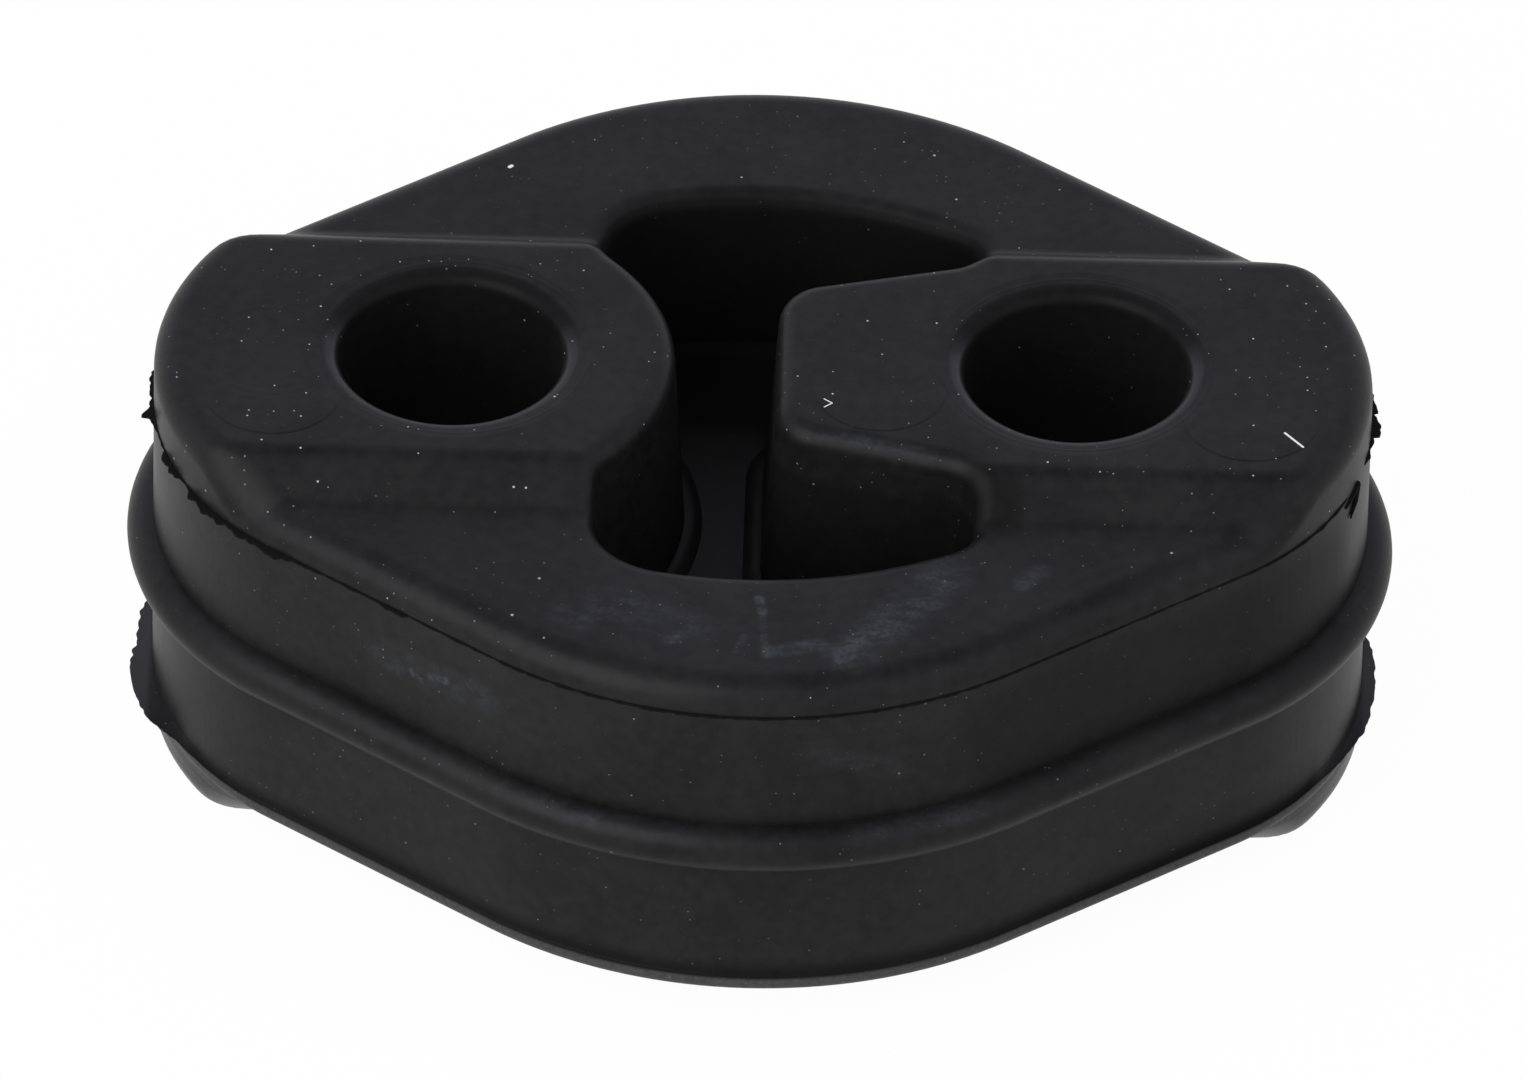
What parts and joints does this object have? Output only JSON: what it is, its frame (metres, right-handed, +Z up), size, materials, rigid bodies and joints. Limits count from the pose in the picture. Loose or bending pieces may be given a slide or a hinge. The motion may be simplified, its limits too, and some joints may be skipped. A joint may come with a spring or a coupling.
{
  "type": "exhaust hanger",
  "caption": "Moulded black rubber exhaust hanger: a rounded block with bores for the hanger rods either side of a webbed central opening.",
  "frame": {"origin": "on the lower boss faces, midway between the two rod bores", "axes": "+X along the length through both rod bores, towards the blunt nose's end; +Z up, along the bores; +Y to the back"},
  "size_m": [0.065, 0.0524, 0.024],
  "materials": {
    "rubber": "satin black moulded rubber"
  },
  "bodies": {
    "root": {"hanger_body": "rubber"}
  },
  "joints": []
}
